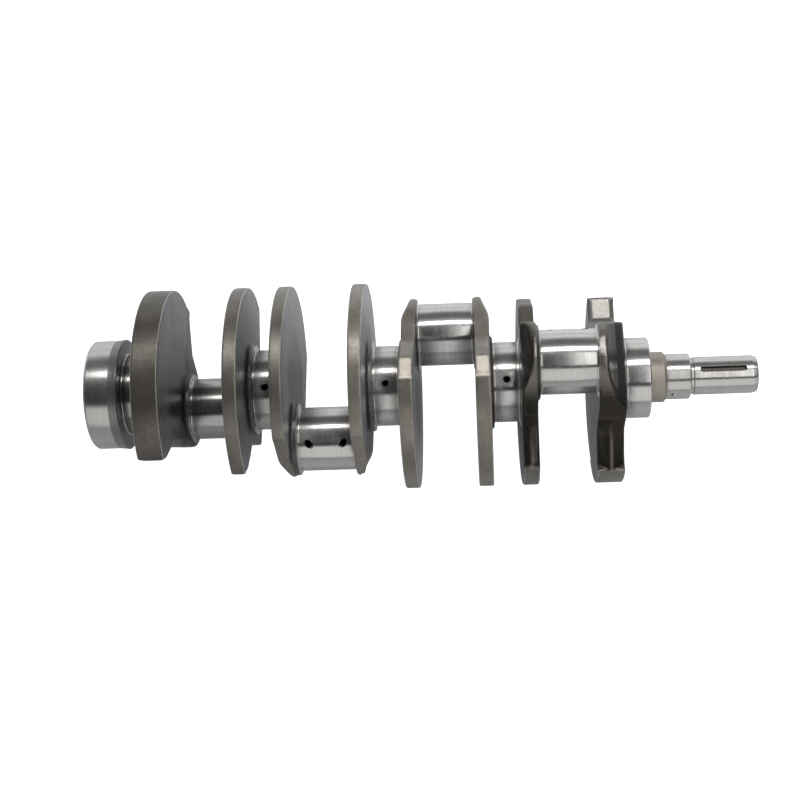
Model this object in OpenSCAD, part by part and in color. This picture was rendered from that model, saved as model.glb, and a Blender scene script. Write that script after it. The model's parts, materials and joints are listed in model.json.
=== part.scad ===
// Forged V8 crankshaft with four crankpins at 90 degrees.
// +X points to the front (snout), +Z through crankpin 1, +Y through crankpin 2.
// The origin is the centre of main journal 3 on the main axis.

/* [Layout] */
// Distance from one main bearing to the next in the middle of the engine
bore_spacing = 100; // [96:0.5:106]
// Throw of the crankpins, half the piston stroke
throw = 45; // [40:0.5:48]
// Thickness of the front end web
front_web_w = 24.2; // [20:0.2:28]
// Thickness of the rear end web
rear_web_w = 26.6; // [22:0.2:30]

/* [Journals] */
// Diameter of the main journals
main_d = 67.5; // [64:0.1:70]
// Length of main journals 2, 3 and 4
main_w = 22; // [18:0.5:26]
// Length of the front and rear main journals
end_main_w = 21; // [18:0.5:26]
// Diameter of the crankpins
pin_d = 53; // [48:0.1:56]
// Length of a crankpin between its webs
pin_w = 46.8; // [44:0.2:50]
// Radius of the relief at both ends of a journal
fillet_r = 1.5; // [0.5:0.1:2]

/* [Webs] */
// Turned outer radius of the counterweights
counterweight_r = 87; // [82:0.5:90]
// Outer radius of the rounded nose around a crankpin
nose_r = 33.5; // [31:0.5:36]
// Radius of the thrust pad around a main journal
main_pad_r = 38; // [36:0.5:42]
// Radius of the pad around a crankpin
pin_pad_r = 30; // [28:0.5:31]
// Depth of the step that the nose bevel of an end web cuts at most
end_bevel_depth = 16.5; // [10:0.5:18]

/* [Oil drillings] */
// Diameter of the hole across a main journal
main_oil_d = 5; // [4:0.5:6]
// Diameter of the slanted drilling that feeds a crankpin
pin_oil_d = 5.5; // [4:0.5:6]
// Distance between the two oil holes of a crankpin
pin_oil_gap = 27.6; // [22:0.2:32]
// Turn of the oil hole across a main journal from crankpin 1
main_oil_turn = -15.5; // [-30:0.5:30]
// Turn of a crankpin oil hole from that crankpin's outward side
pin_oil_turn = 63; // [50:1:75]

/* [Front end] */
// Diameter of the oil pump drive
pump_drive_d = 42.4; // [40:0.1:46]
// Length of the oil pump drive
pump_drive_w = 14.4; // [12:0.2:18]
// Diameter of the timing gear seat
gear_seat_d = 38.1; // [36:0.1:40]
// Length of the timing gear seat, with its undercut
gear_seat_w = 22.6; // [20:0.2:26]
// Diameter of the snout
snout_d = 31.75; // [28:0.05:34]
// Length of the snout
snout_w = 52.8; // [48:0.2:60]
// Width of the keyway
key_w = 4.8; // [4:0.1:6]
// Length of the keyway
key_len = 38.8; // [30:0.2:42]
// Depth of the keyway below the snout surface
key_depth = 2.6; // [2:0.1:3.5]
// Drilled diameter of the threaded hole in the snout
nose_bolt_d = 10.5; // [8.5:0.1:12.5]
// Depth of the threaded hole in the snout
nose_bolt_depth = 42; // [30:1:50]

/* [Rear flange] */
// Diameter of the oil seal surface
seal_d = 91.8; // [90:0.1:94]
// Length of the flange with its collar
flange_w = 28.3; // [24:0.1:32]
// Diameter of the front collar
collar_d = 93.4; // [92:0.1:96]
// Diameter of the pilot bore
pilot_d = 44; // [40:0.5:48]
// Depth of the pilot bore
pilot_depth = 14; // [8:1:20]
// Number of flywheel bolt holes
flange_bolts = 8; // [6:1:8]
// Diameter of the flywheel bolt circle
bolt_circle_d = 70; // [66:0.5:74]
// Drilled diameter of a flywheel bolt hole
flange_hole_d = 9; // [8:0.1:10]
// Depth of a flywheel bolt hole
flange_hole_depth = 23; // [18:1:25]

/* [Hidden] */
$fn = 96;

polished = "#c9c8c6";
forged = "#6f675c";
drive_brown = "#8a7d6d";

// Place of each crankpin along the axis and its turn from +Z towards +Y.
pin_x = [for (step = [1.5, 0.5, -0.5, -1.5]) step * bore_spacing];
pin_turn = [0, 90, -90, 180];

// Each web: its crankpin, the side of the pin it stands on (+1 is the front),
// and how far the forged plate stands back from the pin end and from the main end.
web_pin = [0, 0, 1, 1, 2, 2, 3, 3];
web_side = [1, -1, 1, -1, 1, -1, 1, -1];
pin_relief = [0.5, 2.0, 1.2, 1.4, 0.2, 5.2, 0.2, 4.4];
main_relief = [1.4, 0.6, 2.0, 2.4, 4.4, 0.2, 3.6, 0.4];

inner_web_w = (bore_spacing - pin_w - main_w) / 2;
web_w = [for (k = [0:7]) k == 0 ? front_web_w : k == 7 ? rear_web_w : inner_web_w];
web_pin_x = [for (k = [0:7]) pin_x[web_pin[k]] + web_side[k] * pin_w / 2];
web_main_x = [for (k = [0:7]) web_pin_x[k] + web_side[k] * web_w[k]];

// Centre and length of each main journal, from the front.
main_x = [
    web_main_x[0] + end_main_w / 2, bore_spacing, 0, -bore_spacing, web_main_x[7] - end_main_w / 2
];
main_len = [end_main_w, main_w, main_w, main_w, end_main_w];

// Sections at both ends, from the main journals outwards.
pump_drive_x = main_x[0] + end_main_w / 2;
gear_seat_x = pump_drive_x + pump_drive_w;
snout_x = gear_seat_x + gear_seat_w;
flange_front_x = main_x[4] - end_main_w / 2;
flange_rear_x = flange_front_x - flange_w;

pump_chamfer = 2.3;
seat_undercut_w = 2.9;
seat_undercut_d = 30.4;
snout_chamfer_w = 3.9;
snout_end_d = 29.2;
key_start = 4.8;
seat_notch_w = 5;
seat_notch_turn = -72;
seal_w = 20.9;
flange_chamfer = 2.6;
collar_w = 1.6;
centre_drill_d = 8;
eps = 0.01;

// Outlines are drawn with the crankpin straight up and turned to their place afterwards.
// Counterweight arcs, in degrees either side of the direction opposite the pin.
front_arc = [-76, 99.6];
outer_arc = [-76, 106.6];
inner_arc = [-137, 74];
rear_arc = [-61, 99.6];

// Corners of the flanks from the rim towards the nose: [side with +x, side with -x].
front_flanks = [[[66.2, -21.2], [48.6, 6.6]], [[-58, 27], [-46, 34]]];
outer_flanks = [[[62, 19], [41, 24]], [[-50, 31], [-41, 36]]];
inner_flanks = [[], [[-73.6, -4], [-58, 19], [-41, 26]]];
rear_flanks = [[[58, -10], [48.6, 6.6]], [[-58, 27], [-46, 34]]];

// Nose bevels: [distance from the main axis, angle from the web face, turn towards +x, depth].
end_bevel = [42, 35, 0, end_bevel_depth];
outer_bevel = [54.5, 24, 8, 20];
inner_bevel = [59.5, 36, -23, 20];

arcs = [front_arc, outer_arc, inner_arc, inner_arc, inner_arc, inner_arc, outer_arc, rear_arc];
flanks = [
    front_flanks, outer_flanks, inner_flanks, inner_flanks,
    inner_flanks, inner_flanks, outer_flanks, rear_flanks
];
bevels = [
    end_bevel, outer_bevel, inner_bevel, inner_bevel,
    inner_bevel, inner_bevel, outer_bevel, end_bevel
];

function rim(phi) = [-counterweight_r * sin(phi), -counterweight_r * cos(phi)];

// Where a line from a flank corner ends just inside the nose circle, near its point of touch,
// on the side with the given sign. The line and the circle cross cleanly that way.
function nose_touch(corner, sign) =
    let (
        inside_r = nose_r - 1,
        run = corner - [0, throw],
        turn = atan2(run[1], run[0]) + sign * acos(inside_r / norm(run))
    )
    [inside_r * cos(turn), throw + inside_r * sin(turn)];

// Turns a shape drawn along Z so that it runs along X.
module along_x(x) {
    translate([x, 0, 0])
        rotate([90, 0, 90])
            children();
}

// A shaft along X from x with a diameter and a length.
module shaft(x, d, w) {
    along_x(x)
        cylinder(d = d, h = w);
}

// A tapered shaft along X.
module taper(x, d1, d2, w) {
    along_x(x)
        cylinder(d1 = d1, d2 = d2, h = w);
}

// Moves a shape on the main axis out to a crankpin.
module at_pin(p) {
    rotate([-pin_turn[p], 0, 0])
        translate([0, 0, throw])
            children();
}

// A straight drilling between two points.
module drilling(a, b, d) {
    run = b - a;
    flat = norm([run[0], run[1]]);
    translate(a)
        rotate([0, atan2(flat, run[2]), atan2(run[1], run[0])])
            cylinder(d = d, h = norm(run));
}

// Outer end of an oil drilling, just past the surface of crankpin p on one side.
function oil_mouth(p, side) =
    let (mouth_r = pin_d / 2 + 1, turn = pin_turn[p] + pin_oil_turn)
    [
        pin_x[p] + side * pin_oil_gap / 2,
        throw * sin(pin_turn[p]) + mouth_r * sin(turn),
        throw * cos(pin_turn[p]) + mouth_r * cos(turn)
    ];

// The slanted drilling through web k, from its crankpin to the middle of its main journal.
module oil_drilling(k) {
    main = web_side[k] > 0 ? web_pin[k] : web_pin[k] + 1;
    drilling(oil_mouth(web_pin[k], web_side[k]), [main_x[main], 0, 0], pin_oil_d);
}

// A journal with a turned relief at both ends.
module journal(x, d, w) {
    shaft(x, d - 2 * 0.4, w);
    shaft(x + fillet_r, d, w - 2 * fillet_r);
}

// The oil hole of main journal i: right across a middle one, only to the centre of an end one.
module main_oil_hole(i) {
    across = i > 0 && i < 4;
    translate([main_x[i], 0, 0])
        rotate([-main_oil_turn, 0, 0])
            translate([0, 0, -main_d])
                cylinder(d = main_oil_d, h = across ? 2 * main_d : main_d);
}

module main_journal(i) {
    color(polished)
    difference() {
        journal(main_x[i] - main_len[i] / 2, main_d, main_len[i]);
        main_oil_hole(i);
        if (i < 4) oil_drilling(2 * i);
        if (i > 0) oil_drilling(2 * i - 1);
    }
}

module crankpin(p) {
    color(polished)
    difference() {
        at_pin(p)
            journal(pin_x[p] - pin_w / 2, pin_d, pin_w);
        oil_drilling(2 * p);
        oil_drilling(2 * p + 1);
    }
}

// Outline of web k with its crankpin straight up.
module web_outline(k) {
    arc = arcs[k];
    right = concat([rim(arc[0])], flanks[k][0]);
    left = concat([rim(arc[1])], flanks[k][1]);
    fan_step = (arc[1] - arc[0]) / 12;
    fan = [for (phi = [arc[0]:fan_step:arc[1] + eps]) rim(phi) / cos(15)];
    intersection() {
        circle(r = counterweight_r);
        polygon(concat(
            [nose_touch(right[len(right) - 1], 1)],
            [for (i = [len(right) - 1:-1:0]) right[i]],
            fan,
            left,
            [nose_touch(left[len(left) - 1], -1)]
        ));
    }
    translate([0, throw])
        circle(r = nose_r);
}

// Block that cuts the slanted bevel off the main side of a nose, with the pin straight up.
module nose_bevel(k) {
    side = web_side[k];
    bevel = bevels[k];
    plate_x = web_main_x[k] - side * main_relief[k];
    rotate([-bevel[2], 0, 0])
        intersection() {
            translate([plate_x, 0, bevel[0]])
                rotate([0, -side * bevel[1], 0])
                    translate([side > 0 ? 0 : -40, -60, -60])
                        cube([40, 120, 120]);
            translate([side > 0 ? plate_x - bevel[3] : plate_x - 40 + bevel[3], -60, 0])
                cube([40, 120, 120]);
        }
}

module web(k) {
    side = web_side[k];
    plate_pin_x = web_pin_x[k] + side * pin_relief[k];
    plate_main_x = web_main_x[k] - side * main_relief[k];
    main_pad_x = min(web_main_x[k], plate_main_x - side * 1);
    pin_pad_x = min(web_pin_x[k], plate_pin_x + side * 1);
    color(forged)
    difference() {
        union() {
            rotate([-pin_turn[web_pin[k]], 0, 0])
                difference() {
                    along_x(min(plate_pin_x, plate_main_x))
                        linear_extrude(height = abs(plate_main_x - plate_pin_x))
                            web_outline(k);
                    nose_bevel(k);
                }
            shaft(main_pad_x, 2 * main_pad_r, main_relief[k] + 1);
            at_pin(web_pin[k])
                shaft(pin_pad_x, 2 * pin_pad_r, pin_relief[k] + 1);
        }
        oil_drilling(k);
    }
}

module oil_pump_drive() {
    color(drive_brown)
    union() {
        shaft(pump_drive_x, pump_drive_d, pump_drive_w - pump_chamfer);
        taper(gear_seat_x - pump_chamfer, pump_drive_d, gear_seat_d + 1.4, pump_chamfer);
    }
}

module timing_gear_seat() {
    seat_w = gear_seat_w - seat_undercut_w;
    color(polished)
    difference() {
        union() {
            shaft(gear_seat_x, gear_seat_d, seat_w);
            shaft(gear_seat_x + seat_w, seat_undercut_d, seat_undercut_w);
        }
        rotate([-seat_notch_turn, 0, 0])
            translate([gear_seat_x - eps, -4, gear_seat_d / 2 - 1.2])
                cube([seat_notch_w, 8, 4]);
    }
}

module snout() {
    color(polished)
    difference() {
        union() {
            shaft(snout_x, snout_d, snout_w - snout_chamfer_w);
            taper(snout_x + snout_w - snout_chamfer_w, snout_d, snout_end_d, snout_chamfer_w);
        }
        translate([snout_x + key_start + key_w / 2, 0, snout_d / 2 - key_depth])
            cylinder(d = key_w, h = 10);
        translate([snout_x + key_start + key_len - key_w / 2, 0, snout_d / 2 - key_depth])
            cylinder(d = key_w, h = 10);
        translate([snout_x + key_start + key_w / 2, -key_w / 2, snout_d / 2 - key_depth])
            cube([key_len - key_w, key_w, 10]);
        shaft(snout_x + snout_w - nose_bolt_depth, nose_bolt_d, nose_bolt_depth + 1);
        taper(snout_x + snout_w - 2, nose_bolt_d, nose_bolt_d + 6, 3);
    }
}

module rear_flange() {
    seal_front_x = flange_rear_x + seal_w;
    color(polished)
    difference() {
        union() {
            taper(flange_rear_x, seal_d - 2 * flange_chamfer, seal_d, flange_chamfer);
            shaft(flange_rear_x + flange_chamfer, seal_d, seal_w - flange_chamfer);
            taper(seal_front_x, seal_d, collar_d, flange_w - seal_w - collar_w);
            shaft(flange_front_x - collar_w, collar_d, collar_w);
        }
        shaft(flange_rear_x - 1, pilot_d, pilot_depth + 1);
        taper(flange_rear_x + pilot_depth - eps, centre_drill_d, 0, centre_drill_d / 2);
        for (i = [0:flange_bolts - 1])
            rotate([(i + 0.5) * 360 / flange_bolts, 0, 0])
                translate([0, 0, bolt_circle_d / 2])
                    shaft(flange_rear_x - 1, flange_hole_d, flange_hole_depth + 1);
    }
}

rear_flange();
main_journal(0);  // main_journal_1
main_journal(1);  // main_journal_2
main_journal(2);  // main_journal_3
main_journal(3);  // main_journal_4
main_journal(4);  // main_journal_5
crankpin(0);  // crankpin_1
crankpin(1);  // crankpin_2
crankpin(2);  // crankpin_3
crankpin(3);  // crankpin_4
web(0);  // web_1
web(1);  // web_2
web(2);  // web_3
web(3);  // web_4
web(4);  // web_5
web(5);  // web_6
web(6);  // web_7
web(7);  // web_8
oil_pump_drive();
timing_gear_seat();
snout();
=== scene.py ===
"""A bare V8 crankshaft: one forging with ground journals, plate counterweights, a rear
flange and a keyed snout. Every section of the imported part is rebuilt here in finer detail.

Lengths in the shape code are millimetres. The row frame has +X along the main axis to the
snout and +Z through crankpin 1. A web is drawn with its crankpin straight up, in (x, u, v):
x along the shaft, v from the main axis to the crankpin, and u across.
"""

import json
import math
from collections import namedtuple

import bpy
import numpy as np
from mathutils import Matrix, Vector


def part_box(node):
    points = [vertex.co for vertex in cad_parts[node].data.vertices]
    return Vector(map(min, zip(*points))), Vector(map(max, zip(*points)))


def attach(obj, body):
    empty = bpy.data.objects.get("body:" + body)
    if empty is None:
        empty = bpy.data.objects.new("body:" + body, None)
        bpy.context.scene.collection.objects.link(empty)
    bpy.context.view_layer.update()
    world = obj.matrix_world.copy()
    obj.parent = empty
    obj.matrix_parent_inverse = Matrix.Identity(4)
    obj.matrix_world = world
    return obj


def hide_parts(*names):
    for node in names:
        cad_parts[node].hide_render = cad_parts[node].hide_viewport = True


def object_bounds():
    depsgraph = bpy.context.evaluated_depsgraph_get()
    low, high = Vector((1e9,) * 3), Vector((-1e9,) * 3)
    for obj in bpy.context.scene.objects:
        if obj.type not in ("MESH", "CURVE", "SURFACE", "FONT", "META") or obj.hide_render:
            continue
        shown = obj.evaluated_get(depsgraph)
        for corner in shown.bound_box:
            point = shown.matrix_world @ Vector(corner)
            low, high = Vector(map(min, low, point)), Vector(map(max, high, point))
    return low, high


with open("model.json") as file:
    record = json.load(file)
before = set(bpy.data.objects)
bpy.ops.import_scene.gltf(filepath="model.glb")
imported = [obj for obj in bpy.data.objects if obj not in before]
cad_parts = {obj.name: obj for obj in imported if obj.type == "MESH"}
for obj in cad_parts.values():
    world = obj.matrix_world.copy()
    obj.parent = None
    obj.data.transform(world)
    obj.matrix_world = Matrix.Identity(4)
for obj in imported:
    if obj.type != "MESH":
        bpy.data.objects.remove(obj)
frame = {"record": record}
cad_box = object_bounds()

MM = 0.001
TAU = 2 * math.pi

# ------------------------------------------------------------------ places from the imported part

mounts = {m["name"]: m for m in frame["record"]["mounts"]}


def span(node):
    """Where a node starts and ends along the shaft, in mm."""
    low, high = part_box(node)
    return low.x / MM, high.x / MM


def half_height(node):
    """Half the height of a turned node, in mm, which is its radius."""
    low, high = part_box(node)
    return (high.z - low.z) / 2 / MM


MAIN_R = half_height("main_journal_1")
PIN_R = half_height("crankpin_1")
PIN_PLACES = {p: Vector(mounts[f"crankpin_{p}"]["pos_m"]) / MM for p in (1, 2, 3, 4)}
THROW = math.hypot(PIN_PLACES[1].y, PIN_PLACES[1].z)

# ------------------------------------------------------------------ mesh helpers

SEGMENTS = 192
SMOOTH_ANGLE = math.radians(28)
WEB_SMOOTH_ANGLE = math.radians(80)


def make_piece(name, points, faces):
    """A named object in the row frame from points in mm and faces."""
    mesh = bpy.data.meshes.new(name)
    mesh.from_pydata([tuple(p) for p in np.asarray(points) * MM], [], faces)
    mesh.update()
    piece = bpy.data.objects.new(name, mesh)
    bpy.context.scene.collection.objects.link(piece)
    return piece


def smooth(piece, angle=SMOOTH_ANGLE):
    """Smooth shading that keeps the edges sharper than an angle."""
    mesh = piece.data
    mesh.polygons.foreach_set("use_smooth", [True] * len(mesh.polygons))
    mesh.set_sharp_from_angle(angle=angle)
    mesh.update()


def arc(centre_x, centre_r, radius, start, end, steps):
    """Profile points along an arc; angles in degrees from +x towards the outside."""
    turns = np.radians(np.linspace(start, end, steps + 1))
    return [(centre_x + radius * math.cos(a), centre_r + radius * math.sin(a)) for a in turns]


def turned(name, profile, segments=SEGMENTS, wobble=None):
    """A closed solid turned about the x axis.

    The profile runs from a point on the axis, out and round to another point on the axis,
    with the solid on its right. wobble(x, r, turns) may change the radius round a ring.
    """
    turns = np.arange(segments) * TAU / segments
    points = [(profile[0][0], 0, 0)]
    rings = profile[1:-1]
    for x, r in rings:
        radius = np.full(segments, float(r)) if wobble is None else wobble(x, r, turns)
        points += list(zip(np.full(segments, x), radius * np.sin(turns), radius * np.cos(turns)))
    points.append((profile[-1][0], 0, 0))
    last = len(points) - 1
    end = last - segments
    faces = []
    for j in range(segments):
        k = (j + 1) % segments
        faces.append((0, 1 + j, 1 + k))
        faces.append((last, end + k, end + j))
        for i in range(len(rings) - 1):
            a = 1 + i * segments
            b = a + segments
            faces.append((a + j, b + j, b + k, a + k))
    return make_piece(name, points, faces)


def place(piece, matrix):
    """Moves a piece's own mesh, so that its object stays at the origin."""
    piece.data.transform(matrix)


def along(direction):
    """Turns +x to a direction."""
    return Vector((1, 0, 0)).rotation_difference(Vector(direction)).to_matrix().to_4x4()


def at(point):
    """Moves the origin to a point in mm."""
    return Matrix.Translation(Vector(point) * MM)


def carve(body, cutters):
    """Cuts the cutters out of a body for good."""
    for cutter in cutters:
        cut = body.modifiers.new("cut", "BOOLEAN")
        cut.object = cutter
        cut.solver = "EXACT"
    bpy.context.view_layer.update()
    graph = bpy.context.evaluated_depsgraph_get()
    carved = bpy.data.meshes.new_from_object(body.evaluated_get(graph))
    body.modifiers.clear()
    body.data = carved
    for cutter in cutters:
        bpy.data.objects.remove(cutter)


COUNTERSINK_REACH = 2.5
PLAIN_REACH = 8.0
DRILL_POINT = 0.6
DRILL_SEGMENTS = 48
RINGS_PER_PITCH = 8


def thread_wall(radius, start, end, pitch, height):
    """A wobble that cuts a right-hand thread into a hole's wall, between two depths."""

    def wall(x, r, turns):
        if r != radius or not start < -x < end:
            return np.full(len(turns), float(r))
        phase = (x / pitch + turns / TAU) % 1
        return radius + height * (1 - np.abs(2 * phase - 1))

    return wall


def drill(mouth, inward, radius, depth, chamfer, thread=None):
    """A cutter for a drilled hole: a mouth on the surface, a countersink and a drill point.

    A hole with next to no chamfer is plain, and its cutter stands out further, because the
    hole may be slanted. thread is the (pitch, height) of a screw thread, or None.
    """
    plain = chamfer < 0.1
    above = PLAIN_REACH if plain else COUNTERSINK_REACH
    mouth_r = radius + chamfer
    outer_r = mouth_r if plain else mouth_r + COUNTERSINK_REACH
    profile = [(-above, 0), (-above, outer_r), (0, mouth_r), (chamfer, radius)]
    wobble = None
    if thread:
        pitch, height = thread
        rings = int((depth - 2 * pitch) / pitch * RINGS_PER_PITCH)
        profile += [(x, radius) for x in np.linspace(chamfer + 0.05, depth - pitch, rings)]
        wobble = thread_wall(radius, chamfer, depth, pitch, height)
    profile += [(depth, radius), (depth + radius * DRILL_POINT, 0)]
    inwards = [(-x, r) for x, r in reversed(profile)]
    cutter = turned("cutter", inwards, DRILL_SEGMENTS, wobble)
    place(cutter, at(mouth) @ along(-Vector(inward)))
    return cutter


# ------------------------------------------------------------------ the forged webs

GRID = 1.0
X_MARGIN = 3.5
U_RANGE = (-92.0, 92.0)
V_RANGE = (-92.0, 84.0)

RIM_R = 87.0
RIM_POINTS = 90
RIM_BAND = 1.5
MAIN_PAD_R = 38.0
PIN_PAD_R = 30.0
PAD_DEPTH = 6.0
PAD_EDGE = 0.4
PAD_FILLET = 2.6
TIGHT_PAD_FILLET = 0.6
RIM_EDGE = 1.2
FORGED_EDGE = 2.0

# A kind of web seen along the shaft. arc is the counterweight's rim, in degrees either side
# of the direction opposite the pin. right and left are the flank corners from the rim to the
# nose, on the +u and the -u side. bevel is a plane bevel on the main side of the nose: the
# distance from the main axis where it starts, its angle from the web face and its turn
# towards +u. The end webs have none, because theirs is dished.
Outline = namedtuple("Outline", "arc right left nose_r corner_r bevel")
OUTLINES = {
    "front": Outline(
        arc=(-76, 99.6),
        right=[(63, -21.2), (48.6, 6.6)],
        left=[(-58, 27), (-46, 34)],
        nose_r=31.0,
        corner_r=1.2,
        bevel=None,
    ),
    "outer": Outline(
        arc=(-76, 106.6),
        right=[(62, 19), (41, 24)],
        left=[(-50, 31), (-41, 36)],
        nose_r=33.5,
        corner_r=7.0,
        bevel=(54.5, 24, 8),
    ),
    "inner": Outline(
        arc=(-137, 74),
        right=[],
        left=[(-80, -4), (-67, 9), (-54, 18.5), (-41, 26)],
        nose_r=31.0,
        corner_r=2.5,
        bevel=(57.5, 26, -23),
    ),
    "inner_rear": Outline(
        arc=(-137, 52),
        right=[],
        left=[(-67, -4), (-58, 19), (-41, 26)],
        nose_r=31.5,
        corner_r=1.5,
        bevel=(57.5, 28, -23),
    ),
    "outer_rear": Outline(
        arc=(-72, 106.6),
        right=[(74, -13), (60, -3), (45, 6)],
        left=[(-50, 31), (-41, 36)],
        nose_r=33.5,
        corner_r=7.0,
        bevel=(54.5, 24, 8),
    ),
    "rear": Outline(
        arc=(-58, 107),
        right=[(70, -34), (59.5, -22), (50, -11)],
        left=[(-64, 30), (-48, 37)],
        nose_r=33.5,
        corner_r=7.0,
        bevel=None,
    ),
}

# A web: its crankpin, its side of the pin (+1 is the front), the gaps from the forged plate
# to its pin end and its main end, its outline, how far the counterweight's faces on the pin
# side and the main side lean along x at the rim, and how light its forged skin is painted,
# as painted light and shade for how brightly the web is lit.
Web = namedtuple("Web", "pin side pin_gap main_gap kind lean tone")
WEBS = (
    Web(1, 1, 0.5, 0.4, "front", (-2.6, -3.4), 1.0),
    Web(1, -1, 2.0, 0.6, "outer", (-1.1, -2.2), 0.9),
    Web(2, 1, 1.2, 2.0, "inner", (0.0, 0.0), 1.4),
    Web(2, -1, 1.4, 2.4, "inner", (0.0, 0.0), 1.45),
    Web(3, 1, 0.2, 4.4, "inner_rear", (0.0, 0.8), 1.6),
    Web(3, -1, 5.2, 0.2, "inner_rear", (1.0, 0.0), 1.2),
    Web(4, 1, 0.2, 3.6, "outer_rear", (0.0, 0.0), 1.1),
    Web(4, -1, 4.4, 0.4, "rear", (0.0, 0.0), 0.7),
)

# Depth of the dished bevel of an end web against the distance from the main axis.
# It is negative where the bevel has not started.
NO_BEVEL = -12.0
DISH = ((30, NO_BEVEL), (40, -1), (44, 2.5), (50, 8), (58, 12), (64, 14.6), (70, 16.2), (90, 16.6))
DISH_OVAL = 0.4
DISH_STEEPNESS = 0.8
PLANE_BEVEL_EDGE = 1.6
DISH_EDGE = 2.5

# Forging draft, on the +u and on the -u flank: its slope, and the share of the thickness
# round the parting line that has none. The plates of the inner webs have nearly no draft.
DRAFT_SLOPE = (0.55, 0.6)
DRAFT_FREE = (0.6, 0.06)
INNER_DRAFT = 0.15
LEAST_DRAFT = 0.12

# Runs over which a share grows or shrinks: where they start or stop, and their length. The
# front web leans more towards -u, the rear web's pin-side gap shrinks towards the nose, and
# the draft fades out there.
LEAN_RUN = (38, 14)
GAP_RUN = (55, 40)
LEAST_GAP = 0.1
DRAFT_RUN = (30, 16)
BEVEL_RUN = (0, 20)

# The worn facet across the tips of the webs of crankpin 1.
FACET_TURN = math.radians(3)
FACET_DEPTH = 1.3


def both(a, b, radius):
    """Signed distance of what two shapes share, with the edge between them rounded."""
    outside = np.hypot(np.maximum(a + radius, 0), np.maximum(b + radius, 0))
    return np.minimum(np.maximum(a, b), -radius) + outside


def either(a, b, radius):
    """Signed distance of two shapes joined, with a fillet between them."""
    return -both(-a, -b, radius)


def rising(value, start, run, least=0.0):
    """A share that grows to 1 over a run that begins at start."""
    return np.clip((value - start) / run, least, 1)


def falling(value, end, run, least=0.0):
    """A share that shrinks from 1 over a run that stops at end."""
    return np.clip((end - value) / run, least, 1)


def polygon_distance(corners, u, v):
    """Signed distance from points to a closed polygon, negative inside."""
    best = np.full(np.broadcast(u, v).shape, 1e9)
    inside = np.zeros(best.shape, bool)
    for (au, av), (bu, bv) in zip(corners, corners[1:] + corners[:1]):
        run_u, run_v = bu - au, bv - av
        t = ((u - au) * run_u + (v - av) * run_v) / (run_u**2 + run_v**2)
        t = np.clip(t, 0, 1)
        best = np.minimum(best, np.hypot(u - au - t * run_u, v - av - t * run_v))
        if av != bv:
            inside ^= ((av > v) != (bv > v)) & (u < run_u * (v - av) / run_v + au)
    return np.where(inside, -best, best)


def crossings(level, u, v):
    """Points where a sampled field changes sign between neighbours."""
    found = []
    for axis in (0, 1):
        a = level[:-1] if axis == 0 else level[:, :-1]
        b = level[1:] if axis == 0 else level[:, 1:]
        i, j = np.nonzero((a < 0) != (b < 0))
        t = a[i, j] / (a[i, j] - b[i, j])
        if axis == 0:
            found.append(np.column_stack([u[i, 0] + t * GRID, v[0, j]]))
        else:
            found.append(np.column_stack([u[i, 0], v[0, j] + t * GRID]))
    return np.vstack(found)


def rounded(field, u, v, radius):
    """A sampled 2-D field with its outward corners rounded."""
    level = field + radius
    reach = np.full(field.shape, 1e9)
    for pu, pv in crossings(level, u, v):
        reach = np.minimum(reach, (u - pu) ** 2 + (v - pv) ** 2)
    reach = np.sqrt(reach)
    return np.where(level < 0, -reach, reach) - radius


def rim_point(degrees):
    """A point of the rim, at an angle from the direction opposite the pin."""
    a = math.radians(degrees)
    return (-RIM_R * math.sin(a), -RIM_R * math.cos(a))


def touch_point(corner, sign, nose_r):
    """Where a line from a flank corner touches the nose circle."""
    run = Vector(corner) - Vector((0, THROW))
    turn = math.atan2(run.y, run.x) + sign * math.acos(nose_r / run.length)
    return (nose_r * math.cos(turn), THROW + nose_r * math.sin(turn))


def outline_field(outline):
    """A rounded outline, sampled on a grid as a signed distance, with the grid's u and v."""
    u = np.arange(U_RANGE[0], U_RANGE[1] + GRID, GRID)[:, None]
    v = np.arange(V_RANGE[0], V_RANGE[1] + GRID, GRID)[None, :]
    rim = [rim_point(a) for a in np.linspace(*outline.arc, RIM_POINTS)]
    flank = outline.right[::-1]
    first = touch_point((flank or rim)[0], 1, outline.nose_r)
    last = touch_point(outline.left[-1], -1, outline.nose_r)
    body = polygon_distance([first] + flank + rim + outline.left + [last], u, v)
    nose = np.hypot(u, v - THROW) - outline.nose_r
    return u, v, rounded(np.minimum(body, nose), u, v, outline.corner_r)


outline_fields = {kind: outline_field(outline) for kind, outline in OUTLINES.items()}


def outline_at(kind, u, v):
    """The sampled outline of a kind of web at any points."""
    us, vs, field = outline_fields[kind]
    i = (u - us[0, 0]) / GRID
    j = (v - vs[0, 0]) / GRID
    i0 = np.clip(i.astype(int), 0, field.shape[0] - 2)
    j0 = np.clip(j.astype(int), 0, field.shape[1] - 2)
    s, t = i - i0, j - j0
    low = field[i0, j0] * (1 - t) + field[i0, j0 + 1] * t
    high = field[i0 + 1, j0] * (1 - t) + field[i0 + 1, j0 + 1] * t
    return low * (1 - s) + high * s


def plate_faces(web, width, u, v):
    """Where the faces on the pin side and the main side lie, measured from the pin end."""
    down = rising(-v, 0, RIM_R)
    if web.kind == "front":
        down = np.maximum(down, rising(-u, *LEAN_RUN))
    pin_face = web.pin_gap + web.side * web.lean[0] * down
    if web.kind == "rear":
        pin_face = pin_face * falling(v, *GAP_RUN, LEAST_GAP)
    main_face = width - web.main_gap + web.side * web.lean[1] * down
    return pin_face, main_face


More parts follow.
